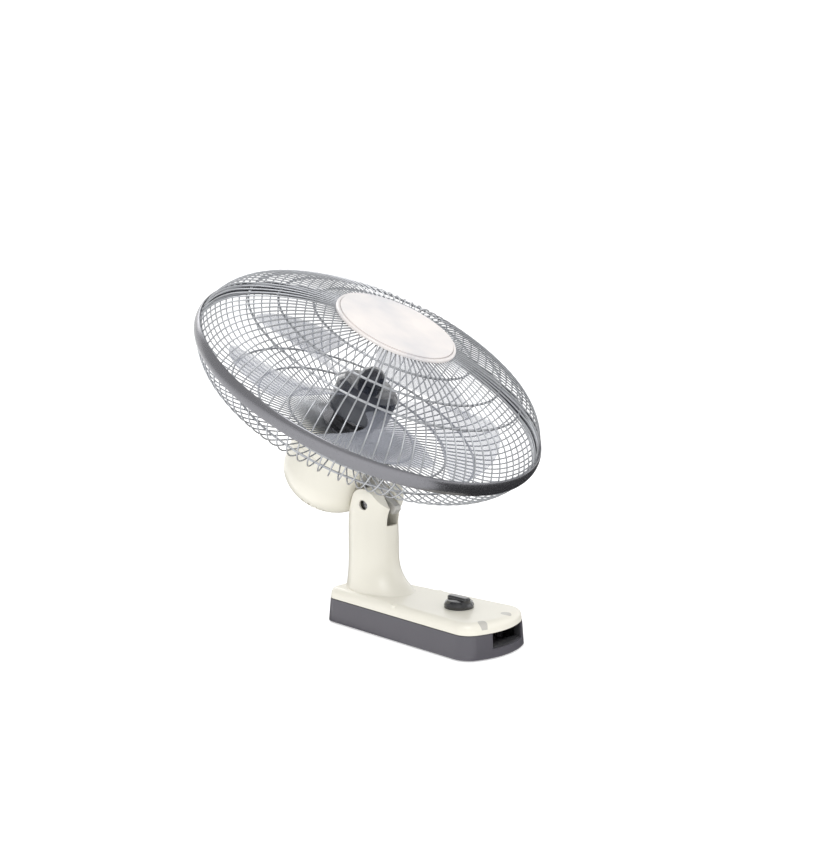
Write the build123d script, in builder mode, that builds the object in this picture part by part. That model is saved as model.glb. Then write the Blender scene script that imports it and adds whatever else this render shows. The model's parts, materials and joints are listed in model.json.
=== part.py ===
"""Desk fan: a long rounded base with a neck, a tilting swivel bracket and an oscillating caged head.

Millimetres, +Z up, the front towards -Y. The origin is on the table, under the axis of the neck.
"""

from build123d import *
from math import acos, atan2, cos, degrees, hypot, pi, radians, sin, sqrt, tan
import os

os.makedirs("parts", exist_ok=True)

# ---- base
base_front = -204.0
base_rear = 44.0
front_half_width = 55.0
rear_half_width = 40.0
front_corner_r = 23.6
rear_corner_r = 15.5
nose_r = 92.2
band_draft = 4.6
wall = 2.4
foot_lift = 1.5
tray_top = 28.2
cover_foot = 29.0
cover_top = 42.0
cover_edge_r = 8.5
shadow_gap = 0.5
slip = 0.3
screw_r = 1.9
screw_reach = 14.0

# ---- neck
neck_half_width = 26.5
neck_half_depth = 32.5
flare_side = 10.5
flare_front = 44.0
flare_rear = 6.0
flare_foot = 32.0
flare_top = 92.0
neck_end = 170.0
neck_cap_r = 19.0
slot_half_width = 9.0
slot_foot = 121.0

# ---- pivots and the rest pose
pivot_y = -9.0
pivot_z = 146.3
tilt_up = 62.3
swing_rest = 4.3
swivel_ahead = 25.0
axis_rise = 80.8
pivot_r = 3.0
swivel_pin_r = 5.0
running = 0.05
side_gap = 0.15

# ---- speed knob
knob_y = -133.0
knob_r = 17.2
knob_height = 12.6
switch_shaft_r = 3.0

# ---- motor and housing, heights measured forwards from the swivel axis
housing_r = 58.0
housing_rear = -83.0
housing_split = -6.0
housing_front = 24.2
housing_floor = 25.5
stator_r = 40.0
stator_rear = -22.0
stator_front = 8.0
shaft_r = 4.0
rotor_r = 22.0
air_gap = 0.5
bell_r = 44.0

# ---- cage
rim_r = 218.0
rim_front = 98.7
rim_width = 17.5
wire_r = 0.85
ring_wire_r = 1.3
hoop_wire_r = 2.0
lip_r = 214.6
lip_width = 1.2
front_wire_count = 96
rear_wire_count = 96
front_cage_r = 213.3
front_cage_depth = 64.0
front_crown = 28.0
front_bend_r = 32.0
rear_cage_r = 213.3
rear_cage_depth = 55.0
rear_crown = 14.0
rear_bend_r = 48.0
badge_r = 70.6
badge_front = 170.1
plate_r = 36.0

# ---- blade
blade_tip_r = 170.0
hub_r = 38.0
hub_rear = 47.0
hub_front = 96.0
blade_count = 5
blade_turn = -33.0
blade_thickness = 2.2
blade_stations = ((20.0, 0.60, 0.0), (70.0, 0.34, 3.0), (120.0, 0.20, 7.0), (176.0, 0.13, 10.0))
lead_edge = (
    (34.0, -26.0),
    (60.0, -25.0),
    (82.0, -28.0),
    (103.0, -36.0),
    (125.0, -47.0),
    (146.0, -54.0),
    (158.0, -56.5),
)
lead_corner = (168.0, -51.0)
tail_corner = (168.0, -5.0)
tail_edge = ((158.0, -0.5), (120.0, 1.5), (80.0, 1.5), (34.0, -1.0))
blade_mid_turn = -28.0

# ---- swing gears
worm_r = 4.5
worm_module = 0.8
worm_wheel_teeth = 24
gear_module = 0.8
pinion_teeth = 10
crank_gear_teeth = 34
crank_h = -40.0
crank_r = 8.0
gear_floor = 33.0
gear_width = 3.0
backlash = 0.25
swing_rod_r = 2.4
crank_shaft_r = 2.5
spindle_x = worm_r + worm_wheel_teeth * worm_module / 2
gear_spacing = (pinion_teeth + crank_gear_teeth) * gear_module / 2
worm_h = crank_h - sqrt(gear_spacing**2 - spindle_x**2)

# ---- frames: a plane's x is to the fan's right, its z points forwards or up
pivot = Vector(0, pivot_y, pivot_z)
level_forward = Vector(0, -cos(radians(tilt_up)), sin(radians(tilt_up)))
swivel = Plane(origin=pivot, x_dir=(1, 0, 0), z_dir=level_forward)
swing = radians(swing_rest)
head_forward = swivel.z_dir * cos(swing) + swivel.x_dir * sin(swing)
head_right = swivel.x_dir * cos(swing) - swivel.z_dir * sin(swing)
swivel_foot = swivel.from_local_coords(Vector(0, 0, swivel_ahead))
head = Plane(origin=swivel_foot + swivel.y_dir * axis_rise, x_dir=head_right, z_dir=head_forward)
head_side = Plane(origin=head.origin, x_dir=head.z_dir, z_dir=-head.x_dir)
swivel_up = Plane(origin=swivel_foot, x_dir=head_right, z_dir=swivel.y_dir)
bracket_up = Plane(origin=swivel_foot, x_dir=(1, 0, 0), z_dir=swivel.y_dir)
bracket_side = Plane(origin=pivot, x_dir=swivel.z_dir, z_dir=-swivel.x_dir)
across = Plane(origin=pivot, x_dir=(0, 1, 0), z_dir=(1, 0, 0))


def save(piece, name):
    """Label a finished piece and write its STEP file."""
    piece.part.label = name
    export_step(piece.part, f"parts/{name}.step")


def shifted(plane, x=0.0, y=0.0, z=0.0):
    """The same plane with its origin moved in its own coordinates."""
    moved = plane.from_local_coords(Vector(x, y, z))
    return Plane(origin=moved, x_dir=plane.x_dir, z_dir=plane.z_dir)


def turned(frame, *corners):
    """A private solid of revolution about the frame's z axis, from (radius, height) corners."""
    section = Plane(frame.origin, x_dir=frame.x_dir, z_dir=-frame.y_dir)
    with BuildPart() as spun:
        with BuildSketch(section):
            with BuildLine():
                Polyline(*corners, close=True)
            make_face()
        revolve(axis=Axis(frame.origin, frame.z_dir))
    return spun.part


def tube(frame, low, high, outer, inner=0.0):
    """A private cylinder or tube between two heights on the frame's z axis."""
    return turned(frame, (inner, low), (outer, low), (outer, high), (inner, high))


def block(frame, low, high, *corners):
    """A private prism between two heights over a polygon drawn on the frame."""
    with BuildPart() as prism:
        with BuildSketch(frame.offset(low)):
            with BuildLine():
                Polyline(*corners, close=True)
            make_face()
        extrude(amount=high - low)
    return prism.part


def box_corners(x0, x1, y0, y1):
    """The four corners of a rectangle."""
    return (x0, y0), (x1, y0), (x1, y1), (x0, y1)


# ---------------------------------------------------------------- base outline
def base_plan(inset):
    """The base seen from above, drawn in by an inset: a tapered body with a round nose."""
    corner_y = base_front + nose_r - sqrt(nose_r**2 - front_half_width**2)
    with BuildSketch() as plan:
        with BuildLine():
            ThreePointArc((-front_half_width, corner_y), (0, base_front), (front_half_width, corner_y))
            Polyline(
                (front_half_width, corner_y),
                (rear_half_width, base_rear),
                (-rear_half_width, base_rear),
                (-front_half_width, corner_y),
            )
        make_face()
        fillet(plan.vertices().group_by(Axis.Y)[0], front_corner_r)
        fillet(plan.vertices().group_by(Axis.Y)[-1], rear_corner_r)
        if inset:
            offset(amount=-inset, kind=Kind.INTERSECTION, mode=Mode.REPLACE)
    return plan.sketch


def inset_at(height):
    """How far the drafted band has drawn in at a height above the table."""
    return (height - foot_lift) * tan(radians(band_draft))


def slab(low, high, inset, draft=0.0):
    """A private prism over the base outline between two heights."""
    with BuildPart() as prism:
        with BuildSketch(Plane.XY.offset(low)):
            add(base_plan(inset))
        extrude(amount=high - low, taper=draft)
    return prism.part


# ---------------------------------------------------------------- base tray
foot_places = [(0, 0), (-30, 26), (30, 26), (-38, -168), (38, -168)]
boss_places = [(-24, 30), (24, 30), (-39, -70), (39, -70), (-40, -160), (40, -160)]
pocket_half_width = 28.0
pocket_x = 7.0
pocket_floor = 11.0
pocket_depth = 17.0
pocket_y = base_front + pocket_depth
inlet_x = 18.0
inlet_z = 15.0
inlet_r = 5.0

with BuildPart() as base_tray:
    add(slab(foot_lift, tray_top, 0, band_draft))
    inner_inset = wall + inset_at(foot_lift + wall)
    add(slab(foot_lift + wall, tray_top + 1, inner_inset, band_draft), mode=Mode.SUBTRACT)
    lip = inset_at(tray_top) + wall
    with BuildSketch(Plane.XY.offset(tray_top - 2)):
        add(base_plan(lip - 1.2))
        add(base_plan(lip), mode=Mode.SUBTRACT)
    extrude(amount=cover_foot - tray_top + 2)
    with BuildSketch(Plane.XY.offset(foot_lift + wall)):
        with Locations(*boss_places):
            Circle(4.4)
    extrude(amount=cover_foot - foot_lift - wall)
    with BuildSketch(Plane.XY.offset(foot_lift)):
        with Locations(*boss_places):
            Circle(screw_r + 0.2)
    extrude(amount=cover_foot, mode=Mode.SUBTRACT)
    with BuildSketch(Plane.XY.offset(foot_lift)):
        with Locations(*boss_places):
            Circle(screw_r * 2)
    extrude(amount=6, mode=Mode.SUBTRACT)
    with BuildSketch(Plane.XY.offset(foot_lift)):
        with Locations(*foot_places):
            Circle(2.6)
    extrude(amount=wall, mode=Mode.SUBTRACT)
    with BuildSketch(Plane.XY.offset(pocket_floor)):
        with Locations((pocket_x, base_front)):
            Rectangle(2 * pocket_half_width, 2 * pocket_depth)
    extrude(amount=cover_foot, mode=Mode.SUBTRACT)
    with BuildSketch(Plane.XZ.offset(-base_rear)):
        with Locations((inlet_x, inlet_z)):
            Circle(inlet_r)
    extrude(amount=4 * wall, both=True, mode=Mode.SUBTRACT)
save(base_tray, "base_tray")

# ---------------------------------------------------------------- front pocket liner
with BuildPart() as front_pocket:
    with BuildSketch(Plane.XY.offset(pocket_floor + 0.1)):
        with Locations((pocket_x, pocket_y - 4)):
            Rectangle(2 * pocket_half_width - 0.2, 2 * pocket_depth + 8)
        add(base_plan(inset_at(tray_top) + 1.0), mode=Mode.INTERSECT)
    extrude(amount=tray_top - pocket_floor - 0.2)
    with BuildSketch(Plane.XY.offset(pocket_floor + 1.6)):
        with Locations((pocket_x, pocket_y - 4)):
            Rectangle(2 * pocket_half_width - 3.2, 2 * pocket_depth + 4.8)
    extrude(amount=cover_foot, mode=Mode.SUBTRACT)
    with BuildSketch(Plane.XY.offset(pocket_floor)):
        with Locations((0, base_rear)):
            Rectangle(200, 2 * (base_rear - pocket_y + 0.4))
    extrude(amount=cover_foot, mode=Mode.SUBTRACT)
save(front_pocket, "front_pocket")

# ---------------------------------------------------------------- feet, screws, inlet bush
with BuildPart() as rubber_feet:
    with BuildSketch():
        with Locations(*foot_places):
            Circle(8)
    extrude(amount=foot_lift)
    with BuildSketch(Plane.XY.offset(foot_lift)):
        with Locations(*foot_places):
            Circle(2.4)
    extrude(amount=wall - 0.2)
save(rubber_feet, "rubber_feet")

with BuildPart() as base_screws:
    with BuildSketch(Plane.XY.offset(foot_lift + 3.4)):
        with Locations(*boss_places):
            Circle(screw_r * 2 - 0.4)
    extrude(amount=2.6)
    with BuildSketch(Plane.XY.offset(foot_lift + 6)):
        with Locations(*boss_places):
            Circle(screw_r)
    extrude(amount=cover_foot - foot_lift - 6 + 6)
save(base_screws, "base_screws")

inlet_frame = Plane(origin=(inlet_x, base_rear, inlet_z), x_dir=(1, 0, 0), z_dir=(0, 1, 0))
with BuildPart() as cord_inlet_bush:
    add(
        turned(
            inlet_frame,
            (3.2, -7),
            (inlet_r + 2.0, -7),
            (inlet_r + 2.0, -5.2),
            (inlet_r - 0.2, -5.2),
            (inlet_r - 0.2, -0.8),
            (3.2, -0.8),
        )
    )
save(cord_inlet_bush, "cord_inlet_bush")


# ---------------------------------------------------------------- base cover with neck
def neck_body(shrink):
    """A private loft of ovals: a straight column that flares out into the base."""
    with BuildPart() as column:
        stations = [flare_foot + (flare_top - flare_foot) * i / 5 for i in range(6)] + [130.0, neck_end]
        for height in stations:
            spread = max(0.0, (flare_top - height) / (flare_top - flare_foot)) ** 3
            front = -neck_half_depth - flare_front * spread + shrink
            rear = neck_half_depth + flare_rear * spread - shrink
            side = neck_half_width + flare_side * spread - shrink
            with BuildSketch(Plane.XY.offset(height)):
                with Locations((0, (front + rear) / 2)):
                    Ellipse(side, (rear - front) / 2)
        loft()
    return column.part


def neck_side(shrink, half_width):
    """A private prism across the fan: the round head of the neck and the slope behind it."""
    run_off = neck_half_depth + 1.5 - pivot_y
    slope_drop = (run_off * sin(radians(tilt_up)) - neck_cap_r) / cos(radians(tilt_up))
    with BuildPart() as prism:
        with BuildSketch(across):
            Circle(neck_cap_r - shrink)
            with BuildLine():
                Polyline(
                    (-neck_half_depth - 1.5 - pivot_y, -26),
                    (-neck_half_depth - 60 - pivot_y, -90),
                    (-neck_half_depth - 60 - pivot_y, -pivot_z),
                    (run_off + 20, -pivot_z),
                    (run_off + 20, -90),
                    (run_off - shrink, -slope_drop),
                    close=True,
                )
            make_face()
            make_hull()
        extrude(amount=half_width, both=True)
    return prism.part


neck_outer = neck_body(0) & neck_side(0, 80)
neck_inner = neck_body(wall) & neck_side(wall, 80)
liner_zone = block(
    Plane.XY, slot_foot - 12, neck_end, *box_corners(-slot_half_width - wall, slot_half_width + wall, -60, 60)
)
knob_frame = Plane(origin=(0, knob_y, cover_top), x_dir=(1, 0, 0), z_dir=(0, 0, 1))

with BuildPart() as base_cover:
    cover_inset = inset_at(tray_top) + shadow_gap
    add(slab(cover_foot, cover_top, cover_inset, 5))
    fillet(base_cover.faces().sort_by(Axis.Z)[-1].edges(), cover_edge_r)
    add(neck_outer)
    add(slab(cover_foot - 1, cover_top - wall, cover_inset + wall + 0.6, 5), mode=Mode.SUBTRACT)
    add(neck_inner, mode=Mode.SUBTRACT)
    add(liner_zone & neck_outer)
    with BuildSketch(Plane.XY.offset(cover_foot)):
        with Locations(*boss_places):
            Circle(4.4)
    extrude(amount=cover_top - wall / 2 - cover_foot)
    with BuildSketch(Plane.XY.offset(cover_foot)):
        with Locations(*boss_places):
            Circle(screw_r)
    extrude(amount=6, mode=Mode.SUBTRACT)
    add(
        block(Plane.XY, slot_foot, neck_end + 5, *box_corners(-slot_half_width, slot_half_width, -60, 14)),
        mode=Mode.SUBTRACT,
    )
    add(
        block(Plane.XY, 90, slot_foot + 1, *box_corners(-slot_half_width, slot_half_width, -28, 24)),
        mode=Mode.SUBTRACT,
    )
    add(tube(across, -60, 60, pivot_r + running), mode=Mode.SUBTRACT)
    add(tube(across, -60, -18.5, 6.0), mode=Mode.SUBTRACT)
    add(tube(across, 18.5, 60, 6.0), mode=Mode.SUBTRACT)
    add(tube(knob_frame, -20, 20, 7.0), mode=Mode.SUBTRACT)
save(base_cover, "base_cover")

# seats of the pivot screw: two bossed plates inside the neck walls
with BuildPart() as pivot_bosses:
    for side in (-1, 1):
        inner = side * (slot_half_width + wall)
        outer = side * 18.5
        add(tube(across, min(inner, outer), max(inner, outer), 8.4, pivot_r + 0.1) & neck_inner)
save(pivot_bosses, "pivot_bosses")

# ---------------------------------------------------------------- weight and electrics in the base
tray_floor = foot_lift + wall
with BuildPart() as base_weight:
    with BuildSketch(Plane.XY.offset(tray_floor)):
        with Locations((0, -30)):
            RectangleRounded(62, 66, 6)
    extrude(amount=9)
save(base_weight, "base_weight")

switch_top = cover_top - wall
switch_frame = Plane(origin=(0, knob_y, switch_top), x_dir=(1, 0, 0), z_dir=(0, 0, 1))
with BuildPart() as rotary_switch:
    add(block(switch_frame, -19, -1.8, *box_corners(-15, 15, -15, 15)))
    fillet(rotary_switch.edges().filter_by(Axis.Z), 3)
    add(tube(switch_frame, -1.8, 1.4, 5.6))
    add(tube(switch_frame, -12, 20, switch_shaft_r + running), mode=Mode.SUBTRACT)
save(rotary_switch, "rotary_switch")

with BuildPart() as switch_plate:
    add(block(switch_frame, -1.6, -0.1, *box_corners(-21, 21, -11, 11)))
    add(tube(switch_frame, -3, 3, 5.8), mode=Mode.SUBTRACT)
save(switch_plate, "switch_plate")

with BuildPart() as speed_knob:
    add(
        turned(
            knob_frame,
            (switch_shaft_r + 0.02, 0.4),
            (knob_r, 0.4),
            (knob_r, 3.4),
            (knob_r - 1.2, 6.2),
            (knob_r - 4.0, 8.8),
            (0, 10.8),
            (0, 9.4),
            (switch_shaft_r + 0.02, 9.4),
        )
    )
    with BuildSketch(knob_frame.offset(5.0)):
        RectangleRounded(11.0, 2 * knob_r - 4.0, 5.0)
    extrude(amount=knob_height - 5.0)
    fillet(speed_knob.faces().sort_by(Axis.Z)[-1].edges(), 2.4)
    add(tube(knob_frame, -1, 9.4, switch_shaft_r + 0.02), mode=Mode.SUBTRACT)
save(speed_knob, "speed_knob")

with BuildPart() as switch_shaft:
    add(tube(knob_frame, -12, 9.3, switch_shaft_r))
save(switch_shaft, "switch_shaft")

with BuildPart() as run_capacitor:
    with BuildSketch(Plane.XY.offset(tray_floor)):
        with Locations((-26, -96)):
            RectangleRounded(20, 32, 2)
    extrude(amount=18)
save(run_capacitor, "run_capacitor")

with BuildPart() as terminal_block:
    with BuildSketch(Plane.XY.offset(tray_floor)):
        with Locations((24, -86)):
            Rectangle(12, 34)
    extrude(amount=13)
    with BuildSketch(Plane.XY.offset(tray_floor + 6)):
        with Locations((24, -86)):
            with GridLocations(0, 11, 1, 3):
                Circle(2.2)
    extrude(amount=8, mode=Mode.SUBTRACT)
save(terminal_block, "terminal_block")

# ---------------------------------------------------------------- tilt pivot
with BuildPart() as tilt_screw:
    add(
        turned(
            across,
            (0, -22.0),
            (5.4, -22.0),
            (5.4, -18.6),
            (pivot_r, -18.6),
            (pivot_r, 24.0),
            (0, 24.0),
        )
    )
    with BuildSketch(across.offset(-22.0)):
        Rectangle(7.6, 1.2)
        Rectangle(1.2, 7.6)
    extrude(amount=1.6, mode=Mode.SUBTRACT)
save(tilt_screw, "tilt_screw")

with BuildPart() as tilt_nut:
    with BuildSketch(across.offset(18.6)):
        RegularPolygon(5.4, 6)
        Circle(pivot_r + 0.02, mode=Mode.SUBTRACT)
    extrude(amount=4.6)
save(tilt_nut, "tilt_nut")

knuckle_half = 4.5
with BuildPart() as tilt_washers:
    for side in (-1, 1):
        near = side * (knuckle_half + side_gap)
        far = side * (slot_half_width - 0.05)
        add(tube(across, min(near, far), max(near, far), 9.0, pivot_r + 0.1))
save(tilt_washers, "tilt_washers")

# ---------------------------------------------------------------- swivel bracket
platform_floor = 19.8
platform_top = 23.0
platform_r = 21.5
anchor_x = 17.0
with BuildPart() as swivel_bracket:
    with BuildSketch(bracket_side):
        Circle(13)
        with BuildLine():
            Polyline((-8, 0), (-8, platform_floor), (swivel_ahead + 17, platform_floor), (14, -6), close=True)
        make_face()
        with BuildLine():
            Polyline((-3, 0), (2, -28), (9, -30), (13, -27), (12.5, 0), close=True)
        make_face()
    extrude(amount=knuckle_half, both=True)
    add(tube(bracket_up, platform_floor, platform_top, platform_r))
    add(tube(across, -20, 20, pivot_r + running), mode=Mode.SUBTRACT)
    add(tube(bracket_up, platform_floor - 30, platform_top + 5, swivel_pin_r + 0.02), mode=Mode.SUBTRACT)
    add(tube(shifted(bracket_up, x=anchor_x), platform_floor - 1, platform_top + 1, 1.52), mode=Mode.SUBTRACT)
save(swivel_bracket, "swivel_bracket")

boss_top = 35.6
with BuildPart() as swivel_pin:
    add(
        turned(
            bracket_up,
            (0, platform_floor - 12),
            (swivel_pin_r, platform_floor - 12),
            (swivel_pin_r, boss_top + 1.6),
            (swivel_pin_r - 1.2, boss_top + 1.6),
            (swivel_pin_r - 1.2, boss_top + 3.0),
            (swivel_pin_r, boss_top + 3.0),
            (swivel_pin_r, boss_top + 4.2),
            (0, boss_top + 4.2),
        )
    )
save(swivel_pin, "swivel_pin")

with BuildPart() as swivel_clip:
    add(tube(bracket_up, boss_top + 1.7, boss_top + 2.9, 8.0, swivel_pin_r - 1.1))
save(swivel_clip, "swivel_clip")

link_floor = 23.4
link_top = 24.9
with BuildPart() as link_stud:
    add(
        turned(
            shifted(bracket_up, x=anchor_x),
            (0, platform_floor),
            (1.5, platform_floor),
            (1.5, link_top + 0.15),
            (3.0, link_top + 0.15),
            (3.0, link_top + 0.45),
            (0, link_top + 0.45),
        )
    )
save(link_stud, "link_stud")

stud_foot = shifted(bracket_up, x=anchor_x).origin
link_line = shifted(swivel_up, y=-crank_h).origin - stud_foot
link_plane = Plane(origin=stud_foot, x_dir=link_line, z_dir=swivel_up.z_dir)
with BuildPart() as swing_link:
    with BuildSketch(link_plane.offset(link_floor)):
        with Locations((link_line.length / 2, 0)):
            SlotCenterToCenter(link_line.length, 5.0)
        Circle(1.5 + running, mode=Mode.SUBTRACT)
        with Locations((link_line.length, 0)):
            Circle(1.1, mode=Mode.SUBTRACT)
    extrude(amount=link_top - link_floor)
save(swing_link, "swing_link")


# ---------------------------------------------------------------- motor housing covers
def housing_shell(shrink, rear_end, front_end):
    """A private drum with a round rear and a flat floor, between two heights."""
    radius = housing_r - shrink
    rear = housing_rear + shrink
    dome = 45.0 - shrink
    section = Plane(head.origin, x_dir=head.x_dir, z_dir=-head.y_dir)
    with BuildPart() as drum:
        with BuildSketch(section):
            with BuildLine():
                start = Line((0, housing_front - shrink), (radius - 5, housing_front - shrink))
                shoulder = TangentArc(start @ 1, (radius, housing_front - 5 - shrink), tangent=(1, 0))
                barrel = Line(shoulder @ 1, (radius, rear + dome))
                cap = EllipticalCenterArc((0, rear + dome), radius, dome, start_angle=270, arc_size=90)
                Line(cap @ 0, start @ 0)
            make_face()
        revolve(axis=Axis(head.origin, head.z_dir))
        floor = housing_floor + shrink - axis_rise
        reach = 2 * housing_r
        cut = block(head, rear_end, front_end, *box_corners(-reach, reach, floor, reach))
        add(cut, mode=Mode.INTERSECT)
    return drum.part


vent_count = 28
rear_vents = [360 / vent_count * i for i in range(vent_count)]
rear_hole = 12.0
with BuildPart() as motor_rear_cover:
    add(housing_shell(0, housing_rear, housing_split))
    add(housing_shell(wall, housing_rear, housing_split + 1), mode=Mode.SUBTRACT)
    with BuildSketch(head.offset(housing_rear - 1)):
        with PolarLocations(34, vent_count):
            SlotOverall(22, 2.4)
    extrude(amount=30, mode=Mode.SUBTRACT)
    add(tube(swivel_up, 0, 30, swivel_pin_r + 8.5), mode=Mode.SUBTRACT)
    add(tube(shifted(swivel_up, y=-crank_h), 0, 30, crank_r + 4.2), mode=Mode.SUBTRACT)
    knob_axis = shifted(swivel_up, x=spindle_x, y=-worm_h)
    add(tube(knob_axis, axis_rise, 200, swing_rod_r + running), mode=Mode.SUBTRACT)
save(motor_rear_cover, "motor_rear_cover")

front_bore = 20.0
with BuildPart() as motor_front_cover:
    add(housing_shell(0, housing_split + 0.2, housing_front + 1))
    add(housing_shell(wall, housing_split - 1, housing_front + 1), mode=Mode.SUBTRACT)
    add(tube(head, 0, 60, front_bore), mode=Mode.SUBTRACT)
    with BuildSketch(head.offset(housing_front - 6)):
        with PolarLocations(40, 24):
            SlotOverall(18, 2.6)
    extrude(amount=10, mode=Mode.SUBTRACT)
    add(tube(swivel_up, 0, 30, swivel_pin_r + 8.5), mode=Mode.SUBTRACT)
save(motor_front_cover, "motor_front_cover")

# ---------------------------------------------------------------- motor frame
nose_r_motor = 15.0
nose_end = 41.0
bearing_seat_r = 9.0
bell_front = 21.4
bell_split = -13.0
bell_rear = -35.5
with BuildPart() as motor_frame:
    add(
        turned(
            head,
            (bearing_seat_r, 12.0),
            (bearing_seat_r + 3.5, 12.0),
            (bearing_seat_r + 3.5, bell_front - 3),
            (stator_r + 0.05, bell_front - 3),
            (stator_r + 0.05, bell_split),
            (bell_r, bell_split),
            (bell_r, bell_front),
            (nose_r_motor, bell_front),
            (nose_r_motor, nose_end),
            (shaft_r + 3, nose_end),
            (shaft_r + 3, bell_front + 2),
            (bearing_seat_r, bell_front + 2),
        )
    )
    with BuildSketch(head.offset(bell_front - 4)):
        with PolarLocations(29, 8):
            SlotOverall(14, 6)
    extrude(amount=6, mode=Mode.SUBTRACT)
    add(tube(swivel_up, 27.0, 40.5, 12.0))
    add(tube(swivel_up, platform_top + 0.3, 27.0, 8.0))
    add(tube(head, -40, bell_front - 3, stator_r + 0.05), mode=Mode.SUBTRACT)
    add(tube(swivel_up, 0, 60, swivel_pin_r + running), mode=Mode.SUBTRACT)
    add(tube(swivel_up, boss_top, 45, 9.0), mode=Mode.SUBTRACT)
save(motor_frame, "motor_frame")

with BuildPart() as rear_bell:
    add(
        turned(
            head,
            (bearing_seat_r, -25.0),
            (bearing_seat_r + 3.5, -25.0),
            (bearing_seat_r + 3.5, bell_rear + 3),
            (stator_r + 0.05, bell_rear + 3),
            (stator_r + 0.05, bell_split - 0.2),
            (bell_r, bell_split - 0.2),
            (bell_r, bell_rear),
            (shaft_r + 2, bell_rear),
            (shaft_r + 2, bell_rear + 2),
            (bearing_seat_r, bell_rear + 2),
        )
    )
    with BuildSketch(head.offset(bell_rear - 1)):
        with PolarLocations(29, 8):
            SlotOverall(14, 6)
    extrude(amount=6, mode=Mode.SUBTRACT)
save(rear_bell, "rear_bell")

bolt_circle = 36.5
with BuildPart() as stator_core:
    with BuildSketch(head.offset(stator_rear)):
        Circle(stator_r)
        Circle(rotor_r + air_gap, mode=Mode.SUBTRACT)
        with PolarLocations(29.5, 8):
            Circle(4.4, mode=Mode.SUBTRACT)
        with PolarLocations(bolt_circle, 4, start_angle=22.5):
            Circle(1.8, mode=Mode.SUBTRACT)
    extrude(amount=stator_front - stator_rear)
save(stator_core, "stator_core")

with BuildPart() as stator_coils:
    with BuildSketch(head.offset(stator_rear)):
        with PolarLocations(29.5, 8):
            Circle(4.2)
    extrude(amount=stator_front - stator_rear)
    add(tube(head, stator_front, stator_front + 9, 34.0, 24.5))
    add(tube(head, stator_rear - 9, stator_rear, 34.0, 24.5))
save(stator_coils, "stator_coils")

with BuildPart() as frame_bolts:
    for spot in PolarLocations(bolt_circle, 4, start_angle=22.5).locations:
        place = shifted(head, x=spot.position.X, y=spot.position.Y)
        add(tube(place, stator_rear - 1.0, stator_front + 1.0, 1.7))
save(frame_bolts, "frame_bolts")

with BuildPart() as shaft_bushes:
    add(tube(head, 12.1, bell_front + 1.9, bearing_seat_r - 0.02, shaft_r + running))
    add(tube(head, bell_rear + 2.1, -25.1, bearing_seat_r - 0.02, shaft_r + running))
save(shaft_bushes, "shaft_bushes")

# ---------------------------------------------------------------- rotor, shaft and worm
shaft_rear = -66.0
shaft_front = 92.0
with BuildPart() as rotor_core:
    add(tube(head, stator_rear, stator_front, rotor_r, shaft_r + 0.02))
    add(tube(head, stator_front, stator_front + 2.0, rotor_r - 1.5, shaft_r + 3))
    add(tube(head, stator_rear - 2.0, stator_rear, rotor_r - 1.5, shaft_r + 3))
save(rotor_core, "rotor_core")

worm_pitch = pi * worm_module
worm_root = worm_r - 1.2 * worm_module
worm_outer = worm_r + worm_module
with BuildPart() as rotor_shaft:
    add(
        turned(
            head,
            (0, shaft_rear),
            (2.2, shaft_rear),
            (2.2, worm_h - 7.0),
            (worm_root, worm_h - 7.0),
            (worm_root, worm_h + 7.0),
            (2.2, worm_h + 7.0),
            (2.2, bell_rear - 1),
            (shaft_r, bell_rear - 1),
            (shaft_r, shaft_front),
            (0, shaft_front),
        )
    )
    cross_hole = shifted(head, z=hub_rear + 4)
    add(
        tube(Plane(cross_hole.origin, x_dir=head.z_dir, z_dir=head.x_dir), -9, 9, 1.5),
        mode=Mode.SUBTRACT,
    )

with BuildPart() as worm_thread:
    helix_edge = Helix(worm_pitch, 12.0, worm_root - 0.05, center=(0, 0, -6.0))
    with BuildSketch(Plane(origin=helix_edge @ 0, x_dir=(1, 0, 0), z_dir=helix_edge % 0)):
        with BuildLine():
            Polyline((0, -0.88), (0, 0.88), (1.2 * worm_module + worm_module + 0.05, 0.24),
                     (1.2 * worm_module + worm_module + 0.05, -0.24), close=True)
        make_face()
    sweep(path=helix_edge, is_frenet=True)
worm_place = shifted(head, z=worm_h)
rotor_shaft.part = rotor_shaft.part + worm_place.location * worm_thread.part
save(rotor_shaft, "rotor_shaft")

with BuildPart() as drive_pin:
    add(tube(Plane(cross_hole.origin, x_dir=head.z_dir, z_dir=head.x_dir), -8.5, 8.5, 1.48))
save(drive_pin, "drive_pin")


# ---------------------------------------------------------------- gears
def gear_plan(teeth, module, play, turn=0.0):
    """A spur gear's outline: each tooth has curved involute flanks, thinned by the play."""
    pitch = teeth * module / 2
    base = pitch * cos(radians(20))
    tip = pitch + 0.95 * module
    root = pitch - 1.25 * module
    half_tooth = pi / (2 * teeth) - play / (2 * pitch)
    spread = tan(radians(20)) - radians(20)
    with BuildSketch() as plan:
        Circle(root)
        flank = []
        for step in range(5):
            radius = base + (tip - base) * step / 4
            roll = acos(base / radius)
            angle = half_tooth + spread - (tan(roll) - roll)
            flank.append((radius * cos(angle), radius * sin(angle)))
        start = ((root - 0.2) * cos(half_tooth + spread), (root - 0.2) * sin(half_tooth + spread))
        with BuildSketch(mode=Mode.PRIVATE) as tooth:
            with BuildLine():
                upper = Spline(*flank)
                Line(start, upper @ 0)
                lower = Spline(*[(x, -y) for x, y in flank])
                Line((start[0], -start[1]), lower @ 0)
                Line(upper @ 1, lower @ 1)
                Line(start, (start[0], -start[1]))
            make_face()
        with PolarLocations(0, teeth, start_angle=turn):
            add(tooth.sketch)
    return plan.sketch


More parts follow.
